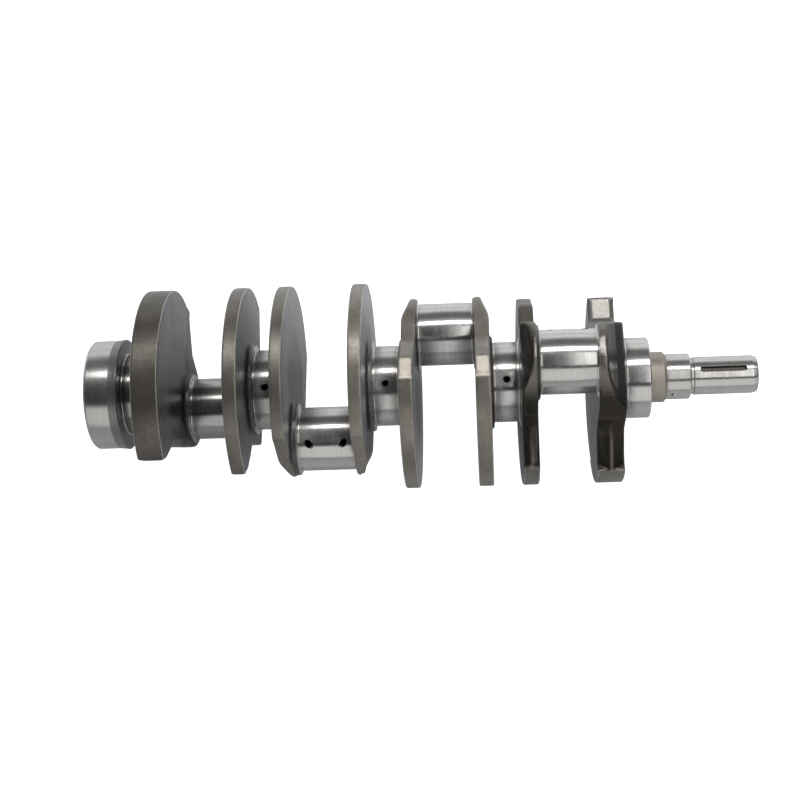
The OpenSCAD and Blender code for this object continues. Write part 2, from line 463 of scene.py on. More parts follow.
def flank_draft(web, thickness, off_middle, u, v):
    """How far forging draft pulls the flanks in, away from the parting line."""
    free = np.where(u > 0, *DRAFT_FREE) * thickness / 2
    draft = np.where(u > 0, *DRAFT_SLOPE) * np.maximum(off_middle - free, 0)
    draft = draft * falling(v, *DRAFT_RUN, LEAST_DRAFT)
    if web.kind.startswith("inner"):
        draft = draft * INNER_DRAFT
    return draft


def tip_facet(web, u, v):
    """Signed distance to the worn facet across the tip of a nose."""
    past_pin = u * math.sin(FACET_TURN) + (v - THROW) * math.cos(FACET_TURN)
    return past_pin - OUTLINES[web.kind].nose_r + FACET_DEPTH


def plane_bevel(bevel, beyond, u, v):
    """Signed distance to a plane bevel, from the distance beyond the main-side face."""
    start, angle, turn = bevel
    slope = math.radians(angle)
    a = math.radians(turn)
    rise = v * math.cos(a) + u * math.sin(a) - start
    return beyond * math.cos(slope) + rise * math.sin(slope)


def dished_bevel(beyond, u, v):
    """Signed distance to a dished bevel, from the distance beyond the main-side face."""
    where, depths = zip(*DISH)
    above = rising(v, *BEVEL_RUN)
    sunk = np.interp(np.hypot(u * DISH_OVAL, v), where, depths) * above + NO_BEVEL * (1 - above)
    return (beyond + sunk) * DISH_STEEPNESS


# The fields that make up a web, at given points. shape is its signed distance. sides and slab
# are those of its outline with draft and of its plate, cut and facet those of what the bevel
# and the worn tip leave. on_rim is the share of turned rim, and the last two are distances
# along the shaft, from the middle of the plate and from the pin end.
WebFields = namedtuple("WebFields", "shape sides slab cut facet on_rim off_middle across")


def web_fields(web, ends, x, u, v, outline):
    """The fields of a web that reaches along the shaft from its pin end to its main end."""
    pin_end, main_end = ends
    width = abs(main_end - pin_end)
    across = (x - pin_end) * web.side
    pin_face, main_face = plate_faces(web, width, u, v)
    off_middle = np.abs(across - (pin_face + main_face) / 2)

    # The rim is turned: it has no draft, and a sharper edge than the forged flanks.
    off_rim = np.abs(outline - (np.hypot(u, v) - RIM_R))
    on_rim = np.clip(RIM_BAND - off_rim / RIM_BAND, 0, 1)
    draft = flank_draft(web, main_face - pin_face, off_middle, u, v)
    sides = outline + draft * (1 - on_rim)
    facet = tip_facet(web, u, v)
    if web.pin == 1:
        sides = np.maximum(sides, facet)
    slab = np.maximum(pin_face - across, across - main_face)
    shape = both(sides, slab, RIM_EDGE + (FORGED_EDGE - RIM_EDGE) * (1 - on_rim))

    bevel = OUTLINES[web.kind].bevel
    if bevel:
        cut = plane_bevel(bevel, across - main_face, u, v)
        shape = both(shape, cut, PLANE_BEVEL_EDGE)
    else:
        cut = dished_bevel(across - main_face, u, v)
        shape = both(shape, cut, DISH_EDGE)

    pads = (
        (np.hypot(u, v - THROW) - PIN_PAD_R, across, web.pin_gap),
        (np.hypot(u, v) - MAIN_PAD_R, width - across, web.main_gap),
    )
    for round_pad, depth, gap in pads:
        pad = both(round_pad, np.maximum(-depth, depth - PAD_DEPTH), PAD_EDGE)
        shape = either(shape, pad, PAD_FILLET if gap > 1 else TIGHT_PAD_FILLET)
    return WebFields(shape, sides, slab, cut, facet, on_rim, off_middle, across)


# ------------------------------------------------------------------ masks on the webs

# Dark scale lies on the -u flanks, except a ridge at the parting line that is painted lighter
# as a highlight, and in the bevels, where it is darker still if they are dished. Round the pads
# the same dark is painted as shade. The cheeks of the inner webs, in a box in u and v, are
# painted lighter as light falling on them. The lobe of the front web and the tips of the webs
# of crankpin 1 are worn a little bright, and painted lighter still as the strip light's highlight.
DISH_SCALE = 2.0
# How much lighter the cheeks are painted, as light falling on them, and their box.
CHEEK_LIGHT = 2.6
CHEEK_U = -72
CHEEK_V = (-23.5, -5)
LOBE_U = 61
LOBE_V = -12
LOBE_HALF_WIDTH = 11
LOBE_INSET = 2
LOBE_SHINE = -0.01
TIP_V = 60
TIP_SKIN = 0.5
TIP_INSET = 1.5
NOT_GROUND = -9
# Painted shade round the pads: its darkest share and the run over which it fades.
PAD_SHADE_SHARE = 0.8
PAD_SHADE_RUN = 22
# The highlight painted along the parting line: its peak, reach and fade, and how much it lightens.
RIDGE_TOP = 1.6
RIDGE_REACH = 1.2
RIDGE_RUN = (32, 8)
RIDGE_HIGHLIGHT = 0.85
SKIN_RUN = (-1.5, 3)
FLANK_RUN = (62, 12)
CUT_RUN = (-1.2, 1.5)
EDGE_DEPTH = 1.4
EDGE_REACH = 1.1
PAD_SKIN = 0.5


def scale_and_shade_mask(web, fields, face, u, v):
    """The share of dark forged skin on the -u flanks and in the bevels, and of painted shade round
    the pads.
    """
    near_pad = np.minimum(np.hypot(u, v) - MAIN_PAD_R, np.hypot(u, v - THROW) - PIN_PAD_R)
    # Painted shade round the pads, on the plate faces.
    pad_shade = face * np.clip(PAD_SHADE_SHARE - near_pad / PAD_SHADE_RUN, 0, PAD_SHADE_SHARE)
    if web.kind.startswith("inner"):
        return pad_shade
    # A lighter ridge along the parting line, painted as a highlight.
    ridge = np.clip(RIDGE_TOP - fields.off_middle / RIDGE_REACH, 0, 1) * falling(v, *RIDGE_RUN)
    flank = rising(fields.sides - fields.slab, *SKIN_RUN) * (1 - fields.on_rim)
    flank = flank * falling(v, *FLANK_RUN)
    flank = np.where(u < 0, flank * (1 - RIDGE_HIGHLIGHT * ridge), 0)
    bevel = rising(fields.cut, *CUT_RUN)
    if not OUTLINES[web.kind].bevel:
        bevel = DISH_SCALE * bevel
    return np.maximum(np.maximum(flank, pad_shade), bevel)


def ground_and_highlight_mask(web, fields, width, u, v, outline):
    """The depth inside ground areas: both pads, and the front web's lobe and the worn tips as
    painted highlights.
    """
    pin_side = PAD_SKIN - np.abs(fields.across)
    main_side = PAD_SKIN - np.abs(fields.across - width)
    on_pin_pad = np.minimum(PIN_PAD_R - np.hypot(u, v - THROW), pin_side)
    on_main_pad = np.minimum(MAIN_PAD_R - np.hypot(u, v), main_side)
    ground = np.maximum(on_pin_pad, on_main_pad)
    # The front web's lobe, worn a little bright, painted lighter still as the strip light's
    # highlight.
    if web.kind == "front":
        lobe = np.minimum(LOBE_HALF_WIDTH - fields.off_middle, LOBE_INSET + outline)
        lobe = np.minimum(lobe, LOBE_SHINE)
        ground = np.maximum(ground, np.where((u > LOBE_U) & (v < LOBE_V), lobe, NOT_GROUND))
    # The tips of the webs of crankpin 1, worn a little bright, painted lighter still as a
    # highlight.
    if web.pin == 1:
        tip = np.minimum(fields.facet + TIP_SKIN, -TIP_INSET - fields.cut)
        tip = np.minimum(tip, 0)
        ground = np.maximum(ground, np.where(v > TIP_V, tip, NOT_GROUND))
    return ground


def painted_light_mask(web, fields, u, v):
    """How light the forged skin is painted, as light and shade on each web and on its cheeks."""
    tone = np.full(np.shape(fields.shape), web.tone)
    if web.kind == "inner":
        on_flank = fields.sides > fields.slab
        cheek = (u < CHEEK_U) & (v > CHEEK_V[0]) & (v < CHEEK_V[1]) & on_flank
        tone = np.where(cheek, tone * CHEEK_LIGHT, tone)
    return tone


def edge_mask(fields):
    """The nearness to an edge between the turned rim and a plate face, where a highlight is
    painted.
    """
    off_edge = np.abs(fields.sides - fields.slab)
    inside = np.maximum(-EDGE_DEPTH - np.minimum(fields.sides, fields.slab), 0)
    return (1 - off_edge / EDGE_REACH - inside) * fields.on_rim


def web_masks(web, fields, ends, u, v, outline):
    """What the forged material needs to know at each point, by the attribute's name."""
    face = np.clip(fields.slab - fields.sides, 0, 1)
    return {
        "pad": ground_and_highlight_mask(web, fields, abs(ends[1] - ends[0]), u, v, outline),
        "edge": edge_mask(fields),
        "scale": scale_and_shade_mask(web, fields, face, u, v),
        "face": face,
        "tone": painted_light_mask(web, fields, u, v),
    }


# ------------------------------------------------------------------ web meshes


def surface_net(field, start, step):
    """Points and quads of the surface where a sampled 3-D field changes sign."""
    solid = field < 0
    size = np.array(field.shape) - 1
    count = np.zeros(size, np.int8)
    for i, j, k in np.ndindex(2, 2, 2):
        count += solid[i : i + size[0], j : j + size[1], k : k + size[2]]
    active = (count > 0) & (count < 8)
    cells = np.argwhere(active)
    number = np.full(active.shape, -1)
    number[active] = np.arange(len(cells))
    total = np.zeros((len(cells), 3))
    hits = np.zeros(len(cells))
    for axis in range(3):
        for corner in np.ndindex(2, 2, 2):
            if corner[axis]:
                continue
            far = list(corner)
            far[axis] = 1
            a = field[tuple((cells + corner).T)]
            b = field[tuple((cells + far).T)]
            cut = (a < 0) != (b < 0)
            t = np.divide(a, a - b, out=np.zeros_like(a), where=cut)
            spot = np.tile(np.array(corner, float), (len(cells), 1))
            spot[:, axis] = t
            total += spot * cut[:, None]
            hits += cut
    points = np.array(start) + step * (cells + total / hits[:, None])
    quads = []
    for axis in range(3):
        b, c = (axis + 1) % 3, (axis + 2) % 3
        first = np.take(solid, range(size[axis]), axis)
        second = np.take(solid, range(1, size[axis] + 1), axis)
        edges = np.argwhere(first != second)
        leaving = first[tuple(edges.T)]
        ring = []
        for back_b, back_c in ((0, 0), (1, 0), (1, 1), (0, 1)):
            shift = np.zeros(3, int)
            shift[b], shift[c] = back_b, back_c
            ring.append(number[tuple((edges - shift).T)])
        ring = np.column_stack(ring)
        quads.append(np.where(leaving[:, None], ring, ring[:, ::-1]))
    return points, np.vstack(quads)


def build_web(number):
    """One web with its counterweight, as a piece in its place on the shaft."""
    web = WEBS[number - 1]
    low, high = span(f"web_{number}")
    ends = (low, high) if web.side > 0 else (high, low)
    xs = np.arange(low - X_MARGIN, high + X_MARGIN, GRID)
    us, vs, outline = outline_fields[web.kind]
    grid = web_fields(web, ends, xs[:, None, None], us[None], vs[None], outline[None])
    field = np.broadcast_to(grid.shape, (len(xs),) + outline.shape)
    points, quads = surface_net(field, (xs[0], U_RANGE[0], V_RANGE[0]), GRID)
    x, u, v = points.T
    outline = outline_at(web.kind, u, v)
    fields = web_fields(web, ends, x, u, v, outline)
    pin = PIN_PLACES[web.pin]
    turn = math.atan2(pin.y, pin.z)
    y = u * math.cos(turn) + v * math.sin(turn)
    z = v * math.cos(turn) - u * math.sin(turn)
    piece = make_piece(f"forged_web_{number}", np.column_stack([x, y, z]), quads.tolist())
    for name, values in web_masks(web, fields, ends, u, v, outline).items():
        layer = piece.data.attributes.new(name, "FLOAT", "POINT")
        layer.data.foreach_set("value", values.astype(np.float32))
    smooth(piece, WEB_SMOOTH_ANGLE)
    return piece


webs = [build_web(number) for number in range(1, 9)]

# ------------------------------------------------------------------ ground journals

FILLET = 1.5
UNDERCUT = 0.25
ARC_STEPS = 8
FREE_CORNER = 1.8
BURY = 0.5
OIL_R = 2.5
OIL_DEPTH = 24
OIL_CHAMFER = 0.9
MAIN_OIL_TURN = -15.5
CROSS_DRILLED = (2, 3, 4)
PIN_OIL_R = 2.75
PIN_OIL_DEPTH = 9
PIN_OIL_TURN = 63
PIN_OIL_GAP = 27.6
PIN_SINK = (PIN_OIL_R - 0.6, 1.6, 1.3)
NO_CHAMFER = 0.05


def journal_profile(low, high, radius, free_end=False):
    """Profile of a journal whose ends flare into the pads with a rolled fillet.

    A free end is the front end of the front main journal, which has a rounded corner.
    """
    groove = radius + FILLET - UNDERCUT
    rear = arc(low + FILLET, groove, FILLET, 180, 270, ARC_STEPS)
    straight = [(low + FILLET + 0.5, radius), (high - FILLET - 0.5, radius)]
    if free_end:
        front = arc(high - FREE_CORNER, radius - FREE_CORNER, FREE_CORNER, 88, 2, ARC_STEPS)
        end = [(high, 0)]
    else:
        front = arc(high - FILLET, groove, FILLET, 270, 360, ARC_STEPS)
        end = [(high + BURY, groove), (high + BURY, 0)]
    return [(low - BURY, 0), (low - BURY, groove)] + rear + straight + front + end


def spoke(degrees):
    """The direction square to the shaft at an angle from +Z towards +Y."""
    a = math.radians(degrees)
    return Vector((0, math.sin(a), math.cos(a)))


def build_main(number):
    """A main journal with its oil holes: the middle three are drilled from both sides."""
    low, high = span(f"main_journal_{number}")
    piece = turned(f"ground_main_{number}", journal_profile(low, high, MAIN_R, number == 1))
    turns = [MAIN_OIL_TURN + 180]
    if number in CROSS_DRILLED:
        turns.append(MAIN_OIL_TURN)
    middle = Vector(((low + high) / 2, 0, 0))
    cutters = []
    for turn in turns:
        out = spoke(turn)
        cutters.append(drill(middle + out * MAIN_R, -out, OIL_R, OIL_DEPTH, OIL_CHAMFER))
    carve(piece, cutters)
    smooth(piece)
    return piece


def build_pin(number):
    """A crankpin with its two oil holes, drilled towards the main journals beside it."""
    centre = PIN_PLACES[number]
    low, high = span(f"crankpin_{number}")
    piece = turned(f"ground_pin_{number}", journal_profile(low, high, PIN_R))
    place(piece, at((0, centre.y, centre.z)))
    out = spoke(math.degrees(math.atan2(centre.y, centre.z)) + PIN_OIL_TURN)
    cutters = []
    for side, main in ((1, number), (-1, number + 1)):
        mouth = centre + Vector((side * PIN_OIL_GAP / 2, 0, 0)) + out * PIN_R
        target = Vector((sum(span(f"main_journal_{main}")) / 2, 0, 0))
        inward = (target - mouth).normalized()
        cutters.append(drill(mouth, inward, PIN_OIL_R, PIN_OIL_DEPTH, NO_CHAMFER))
        cutters.append(drill(mouth, -out, *PIN_SINK))
    carve(piece, cutters)
    smooth(piece)
    return piece


mains = [build_main(number) for number in range(1, 6)]
pins = [build_pin(number) for number in range(1, 5)]

# ------------------------------------------------------------------ rear flange

COLLAR_R = 46.7
COLLAR_W = 1.6
COLLAR_CHAMFER = 0.7
SEAL_W = 20.9
FLANGE_CHAMFER = 2.6
PILOT_CORNER = 0.8
PILOT_CHAMFER = 1.2
FLANGE_SEGMENTS = 256
BOLT_DEPTH = 21
BOLT_CHAMFER = 1.0
BOLT_THREAD = (1.5, 0.75)


def build_flange():
    """The rear flange: seal surface, collar, pilot bore and threaded bolt holes."""
    low, high = span("rear_flange")
    seal_r = mounts["rear_seal_surface"]["dims"]["r_mm"]
    pilot = mounts["pilot_bore"]["dims"]
    pilot_r = pilot["r_mm"]
    pilot_end = low + pilot["length_mm"]
    bolts = mounts["flywheel_bolts"]["dims"]
    profile = [
        (pilot_end + 3, 0),
        (pilot_end + 0.6, 4),
        (pilot_end, 6),
        (pilot_end, pilot_r - PILOT_CORNER),
        (pilot_end - PILOT_CORNER, pilot_r),
        (low + PILOT_CHAMFER, pilot_r),
        (low, pilot_r + PILOT_CHAMFER),
        (low, seal_r - FLANGE_CHAMFER),
        (low + 0.35, seal_r - FLANGE_CHAMFER + 0.9),
        (low + FLANGE_CHAMFER - 0.6, seal_r - 0.25),
        (low + FLANGE_CHAMFER, seal_r),
        (low + SEAL_W - 0.4, seal_r),
        (low + SEAL_W + 0.4, seal_r + 0.1),
        (high - COLLAR_W - 0.4, COLLAR_R - 0.15),
        (high - COLLAR_W, COLLAR_R),
        (high - COLLAR_CHAMFER, COLLAR_R),
        (high, COLLAR_R - COLLAR_CHAMFER),
        (high, MAIN_R + 2),
        (high + BURY, 0),
    ]
    piece = turned("rear_seal_flange", profile, FLANGE_SEGMENTS)
    step = 360 / bolts["count"]
    cutters = []
    for i in range(bolts["count"]):
        mouth = Vector((low, 0, 0)) + spoke((i + 0.5) * step) * bolts["pcd_mm"] / 2
        hole_r = bolts["hole_r_mm"]
        cutters.append(drill(mouth, (1, 0, 0), hole_r, BOLT_DEPTH, BOLT_CHAMFER, BOLT_THREAD))
    carve(piece, cutters)
    smooth(piece)
    return piece


flange = build_flange()

# ------------------------------------------------------------------ front end

PUMP_CHAMFER = 2.3
PUMP_SHOULDER = 1.4
SEAT_RELIEF = 0.3
UNDERCUT_W = 2.9
UNDERCUT_R = 15.2
NOTCH_LENGTH = 5.0
NOTCH_W = 4.4
NOTCH_DEPTH = 1.6
NOTCH_CLEAR = 4.0
NOTCH_TURN = -72
SNOUT_CHAMFER_W = 3.9
SNOUT_END_R = 14.6
NOSE_CHAMFER = 1.6
NOSE_THREAD = (1.75, 0.9)
KEY_START = 4.8
KEY_LENGTH = 38.8
KEY_W = 4.8
KEY_DEPTH = 2.6
KEY_END_STEPS = 12
KEY_CLEAR = 3.0


def block(low, high):
    """A plain cutter between two corners, in mm."""
    xs, ys, zs = zip(low, high)
    corners = [(x, y, z) for x in xs for y in ys for z in zs]
    faces = [(0, 1, 3, 2), (4, 6, 7, 5), (0, 4, 5, 1), (2, 3, 7, 6), (0, 2, 6, 4), (1, 5, 7, 3)]
    return make_piece("cutter", corners, faces)


def build_pump_drive():
    """The dull step that drives the oil pump."""
    low, high = span("oil_pump_drive")
    r = mounts["oil_pump_drive"]["dims"]["r_mm"]
    profile = [
        (low - BURY, 0),
        (low - BURY, r + PUMP_SHOULDER),
        (low, r + PUMP_SHOULDER),
        (low + 0.5, r + 0.4),
        (low + 1.4, r),
        (high - PUMP_CHAMFER - 0.3, r),
        (high - PUMP_CHAMFER + 0.2, r - 0.25),
        (high - 0.2, r - PUMP_CHAMFER + 0.1),
        (high, r - PUMP_CHAMFER - 0.2),
        (high, 8),
        (high + BURY, 0),
    ]
    piece = turned("pump_drive_step", profile)
    smooth(piece)
    return piece


def build_gear_seat():
    """The polished timing gear seat with its undercut and a small locating notch."""
    low, high = span("timing_gear_seat")
    r = mounts["timing_gear_seat"]["dims"]["r_mm"]
    groove = high - UNDERCUT_W
    profile = [
        (low - BURY, 0),
        (low - BURY, r - SEAT_RELIEF),
        (low + 0.8, r - SEAT_RELIEF),
        (low + 1.2, r),
        (groove - 1.0, r),
        (groove - 0.2, r - 0.7),
        (groove, r - 1.0),
        (groove, UNDERCUT_R + 0.8),
        (groove + 0.8, UNDERCUT_R),
        (high, UNDERCUT_R),
        (high + BURY, 0),
    ]
    piece = turned("timing_gear_step", profile)
    half = NOTCH_W / 2
    notch = block((low - 1, -half, r - NOTCH_DEPTH), (low + NOTCH_LENGTH, half, r + NOTCH_CLEAR))
    place(notch, Matrix.Rotation(-math.radians(NOTCH_TURN), 4, "X"))
    carve(piece, [notch])
    smooth(piece)
    return piece


def keyway_cutter(start, radius):
    """A cutter for a round-ended keyway that points to +Z."""
    half = KEY_W / 2
    ends = [(start + half, 90, 270), (start + KEY_LENGTH - half, -90, 90)]
    rim = []
    for centre, first, last in ends:
        rim += arc(centre, 0, half, first, last, KEY_END_STEPS)
    count = len(rim)
    bottom, top = radius - KEY_DEPTH, radius + KEY_CLEAR
    points = [(x, y, bottom) for x, y in rim] + [(x, y, top) for x, y in rim]
    faces = [tuple(range(count))[::-1], tuple(range(count, 2 * count))]
    faces += [(i, (i + 1) % count, count + (i + 1) % count, count + i) for i in range(count)]
    return make_piece("cutter", points, faces)


def build_snout():
    """The keyed snout with a threaded hole in its end."""
    low, high = span("snout")
    r = mounts["snout"]["dims"]["r_mm"]
    bolt = mounts["nose_bolt"]["dims"]
    chamfer = high - SNOUT_CHAMFER_W
    profile = [
        (low - BURY, 0),
        (low - BURY, UNDERCUT_R),
        (low, UNDERCUT_R),
        (low, r - 0.6),
        (low + 0.6, r),
        (chamfer - 0.3, r),
        (chamfer + 0.3, r - 0.12),
        (high - 0.5, SNOUT_END_R + 0.1),
        (high, SNOUT_END_R - 0.5),
        (high, 0),
    ]
    piece = turned("keyed_snout", profile)
    depth = bolt["length_mm"]
    hole = drill((high, 0, 0), (-1, 0, 0), bolt["r_mm"], depth, NOSE_CHAMFER, NOSE_THREAD)
    carve(piece, [hole, keyway_cutter(low + KEY_START, r)])
    smooth(piece)
    return piece


pump_drive = build_pump_drive()
gear_seat = build_gear_seat()
snout = build_snout()

# ------------------------------------------------------------------ material helpers


def node(tree, kind, inputs=None, **settings):
    """A shader node with its settings, and its inputs as values or as other nodes' outputs."""
    made = tree.nodes.new(kind)
    for name, value in settings.items():
        setattr(made, name, value)
    for name, value in (inputs or {}).items():
        if isinstance(value, bpy.types.NodeSocket):
            tree.links.new(value, made.inputs[name])
        else:
            made.inputs[name].default_value = value
    return made


def maths(tree, operation, *values):
    """The result of a maths node."""
    return node(tree, "ShaderNodeMath", dict(enumerate(values)), operation=operation).outputs[0]


def vector_maths(tree, operation, *vectors):
    """The vector that a vector maths node makes."""
    inputs = dict(enumerate(vectors))
    return node(tree, "ShaderNodeVectorMath", inputs, operation=operation).outputs["Vector"]


def object_place(tree):
    """Where a point lies in the row frame, in metres."""
    return node(tree, "ShaderNodeTexCoord").outputs["Object"]


def noise(tree, grains, detail, roughness, seed):
    """Noise whose grain has its own size along each axis, given as grains per metre."""
    vector = vector_maths(tree, "MULTIPLY", object_place(tree), grains)
    shifted = vector_maths(tree, "ADD", vector, (seed, seed, seed))
    inputs = {"Vector": shifted, "Scale": 1.0, "Detail": detail, "Roughness": roughness}
    return node(tree, "ShaderNodeTexNoise", inputs).outputs["Fac"]


def remap(tree, value, low, high, to_low, to_high):
    """A value mapped from one range to another and held inside it."""
    limits = {"From Min": low, "From Max": high, "To Min": to_low, "To Max": to_high}
    return node(tree, "ShaderNodeMapRange", {"Value": value, **limits}).outputs["Result"]


def blend(tree, factor, a, b):
    """A colour between two colours."""
    return node(tree, "ShaderNodeMix", {0: factor, 6: a, 7: b}, data_type="RGBA").outputs[2]


def bump(tree, height, strength, distance, under=None):
    """A normal bent by a height, on top of another bump if there is one."""
    inputs = {"Height": height, "Strength": strength, "Distance": distance}
    if under is not None:
        inputs["Normal"] = under
    return node(tree, "ShaderNodeBump", inputs).outputs[0]


def mask(tree, name):
    """A mask that the webs carry in their meshes."""
    return node(tree, "ShaderNodeAttribute", attribute_name=name).outputs["Fac"]


def new_material(name):
    """A material with its tree and its shader."""
    material = bpy.data.materials.new(name)
    material.use_nodes = True
    tree = material.node_tree
    return material, tree, tree.nodes["Principled BSDF"]


# ------------------------------------------------------------------ materials

# Ground steel: the shade painted inside holes, and the ranges of roughness of the journals and
# of the flange and front end.
HOLE_SHADE = (0.04, 0.036, 0.032, 1)
SHINY = (0.2, 0.29)
DULLER = (0.23, 0.33)

# The forged webs: mottled flanks with specks, plate faces, scale with painted shade round the
# pads, painted highlights on the rim edges, the lobe and the tips, and ground pads.
FORGED_DARK = (0.135, 0.123, 0.106, 1)
FORGED_LIGHT = (0.19, 0.175, 0.154, 1)
FORGED_SPECK = (0.1, 0.09, 0.077, 1)
PLATE_DARK = (0.235, 0.24, 0.246, 1)
PLATE_LIGHT = (0.3, 0.305, 0.31, 1)
# Dark forging scale, also used as the painted shade round the pads.
SCALE_AND_SHADE_DARK = (0.036, 0.032, 0.027, 1)
# A light colour painted along the rim edges as a highlight.
EDGE_HIGHLIGHT = (0.6, 0.57, 0.52, 1)
# The ground pads' colour, also painted on the lobe and the tips as a highlight.
GROUND_AND_HIGHLIGHT = (0.62, 0.6, 0.57, 1)

# The pump drive, with its tool marks.
DRIVE_DARK = (0.3, 0.27, 0.23, 1)
DRIVE_LIGHT = (0.4, 0.365, 0.32, 1)
DRIVE_TRACK = (0.48, 0.44, 0.38, 1)


def ground_steel(name, seed, radius, centre=(0, 0, 0), roughness=SHINY, grey=0.56):
    """Ground and polished steel whose fine marks run round the journal.

    It is painted dark well inside the radius, as shade in the holes and on the end faces.
    """
    material, tree, shader = new_material(name)
    fine = noise(tree, (2400, 30, 30), 2.0, 0.6, seed)
    marks = noise(tree, (520, 22, 22), 3.0, 0.65, seed + 7)
    cloud = noise(tree, (70, 50, 50), 2.0, 0.5, seed + 13)

    light = (grey * 1.06, grey * 1.04, grey * 1.01, 1)
    dark = (grey * 0.9, grey * 0.88, grey * 0.85, 1)
    metal = blend(tree, remap(tree, fine, 0.3, 0.7, 0.0, 1.0), dark, light)
    from_centre = vector_maths(tree, "SUBTRACT", object_place(tree), Vector(centre) * MM)
    off_axis = vector_maths(tree, "MULTIPLY", from_centre, (0, 1, 1))
    reach = node(tree, "ShaderNodeVectorMath", {0: off_axis}, operation="LENGTH").outputs["Value"]
    # Painted shade in the holes and on the end faces.
    deep = remap(tree, reach, (radius - 1.4) * MM, (radius - 0.9) * MM, 1.0, 0.0)
    tree.links.new(blend(tree, deep, metal, HOLE_SHADE), shader.inputs["Base Color"])

    both_marks = maths(tree, "ADD", marks, cloud)
    rough = remap(tree, both_marks, 0.75, 1.25, *roughness)
    tree.links.new(rough, shader.inputs["Roughness"])
    shader.inputs["Metallic"].default_value = 1.0
    shader.inputs["Anisotropic"].default_value = 0.9
    shader.inputs["Anisotropic Rotation"].default_value = 0.25
    tangent = node(tree, "ShaderNodeTangent", direction_type="RADIAL", axis="X")
    tree.links.new(tangent.outputs[0], shader.inputs["Tangent"])
    grooves = bump(tree, fine, 0.3, 0.00001)
    tracks = bump(tree, marks, 0.3, 0.00004, grooves)
    tree.links.new(tracks, shader.inputs["Normal"])
    return material


def forged_steel():
    """Forged and shot-blasted steel: mottled, painted brighter on the rim edges as a highlight,
    ground on the pads.
    """
    material, tree, shader = new_material("forged_steel")
    mottle = noise(tree, (45, 45, 45), 4.0, 0.6, 3)
    flakes = noise(tree, (420, 420, 420), 3.0, 0.6, 11)
    grit = noise(tree, (1500, 1500, 1500), 2.0, 0.6, 23)
    # Dark forging scale, and painted shade round the pads.
    dark_scale_and_shade = mask(tree, "scale")

    mottled = remap(tree, mottle, 0.35, 0.65, 0, 1)
    base = blend(tree, mottled, FORGED_DARK, FORGED_LIGHT)
    flank = blend(tree, remap(tree, flakes, 0.5, 0.8, 0, 0.4), base, FORGED_SPECK)
    plate = blend(tree, mottled, PLATE_DARK, PLATE_LIGHT)
    skin = blend(tree, mask(tree, "face"), flank, plate)
    # Painted light and shade: each web, and the cheeks of the inner webs, as brightly as they are
    # lit.
    painted_lit_skin = vector_maths(tree, "MULTIPLY", skin, mask(tree, "tone"))
    scaled = blend(tree, dark_scale_and_shade, painted_lit_skin, SCALE_AND_SHADE_DARK)
    deeper = remap(tree, dark_scale_and_shade, 1.0, 2.0, 1.0, 0.25)
    deepened = vector_maths(tree, "MULTIPLY", scaled, deeper)
    # A highlight line painted along the edges of the turned rim.
    worn = remap(tree, mask(tree, "edge"), 0.2, 0.8, 0.0, 0.85)
    edged = blend(tree, worn, deepened, EDGE_HIGHLIGHT)
    # Ground pads, and the lobe and the tips painted lighter as a highlight.
    ground = remap(tree, mask(tree, "pad"), -0.1, 0.2, 0.0, 1.0)
    tree.links.new(blend(tree, ground, edged, GROUND_AND_HIGHLIGHT), shader.inputs["Base Color"])

    shader.inputs["Metallic"].default_value = 0.75
    specular = remap(tree, dark_scale_and_shade, 0.0, 1.0, 0.5, 0.15)
    tree.links.new(specular, shader.inputs["Specular IOR Level"])
    dull = remap(tree, flakes, 0.3, 0.7, 0.34, 0.46)
    smoother = maths(tree, "MULTIPLY", ground, 0.22)
    uneven = maths(tree, "MULTIPLY_ADD", dark_scale_and_shade, -0.1, dull)
    rough = maths(tree, "SUBTRACT", uneven, smoother)
    tree.links.new(rough, shader.inputs["Roughness"])
    pits = bump(tree, grit, 0.3, 0.00005)
    lumps = bump(tree, flakes, 0.25, 0.00012, pits)
    tree.links.new(lumps, shader.inputs["Normal"])
    return material


def dull_turned_steel():
    """Dull brown turned steel with fine tool marks."""
    material, tree, shader = new_material("dull_turned_steel")
    lines = noise(tree, (2600, 20, 20), 2.0, 0.6, 31)
    stain = noise(tree, (90, 90, 90), 3.0, 0.6, 37)
    base = blend(tree, remap(tree, stain, 0.35, 0.65, 0, 1), DRIVE_DARK, DRIVE_LIGHT)
    tracked = blend(tree, remap(tree, lines, 0.35, 0.7, 0, 0.5), base, DRIVE_TRACK)
    tree.links.new(tracked, shader.inputs["Base Color"])
    shader.inputs["Metallic"].default_value = 0.85
    rough = remap(tree, stain, 0.3, 0.7, 0.42, 0.56)
    tree.links.new(rough, shader.inputs["Roughness"])
    tree.links.new(bump(tree, lines, 0.5, 0.00004), shader.inputs["Normal"])
    return material


# ------------------------------------------------------------------ bodies, slots and materials

# How light each ground journal is, from the front: the rear ones are painted darker as shade.
MAIN_SHADED_GREYS = (0.58, 0.54, 0.54, 0.4, 0.36)
PIN_SHADED_GREYS = (0.56, 0.54, 0.54, 0.36)
SEAL_GREY = 0.5


def dress(piece, material, replaced):
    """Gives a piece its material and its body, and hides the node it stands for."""
    piece.data.materials.clear()
    piece.data.materials.append(material)
    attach(piece, "root")
    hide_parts(replaced)


forged = forged_steel()
drive_steel = dull_turned_steel()

for number, piece in enumerate(webs, 1):
    dress(piece, forged, f"web_{number}")
for number, (piece, grey) in enumerate(zip(mains, MAIN_SHADED_GREYS), 1):
    steel = ground_steel(f"main_steel_{number}", number * 17.0, MAIN_R, grey=grey)
    dress(piece, steel, f"main_journal_{number}")
for number, (piece, grey) in enumerate(zip(pins, PIN_SHADED_GREYS), 1):
    steel = ground_steel(f"pin_steel_{number}", number * 29.0, PIN_R, PIN_PLACES[number], grey=grey)
    dress(piece, steel, f"crankpin_{number}")

